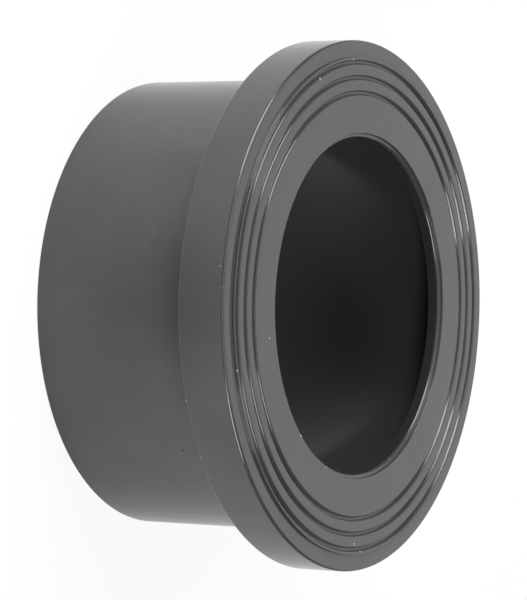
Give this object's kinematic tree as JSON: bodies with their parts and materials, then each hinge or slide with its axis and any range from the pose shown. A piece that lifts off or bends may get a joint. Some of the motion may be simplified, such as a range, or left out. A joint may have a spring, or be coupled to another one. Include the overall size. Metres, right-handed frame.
{
  "type": "lap joint stub end",
  "caption": "Moulded plastic stub end with a plain pipe socket in its hub, a collar for a loose backing ring and a sealing face with concentric grooves.",
  "frame": {"origin": "centre of the hub's end face, which the part stands on", "axes": "+Z along the axis of the bore, from the end of the hub to the sealing face; +X and +Y are any two square directions, because the part is round"},
  "size_m": [0.1062, 0.1062, 0.0477],
  "materials": {
    "moulded_pvc": "satin"
  },
  "bodies": {
    "root": {"stub_end": "moulded_pvc"}
  },
  "joints": []
}
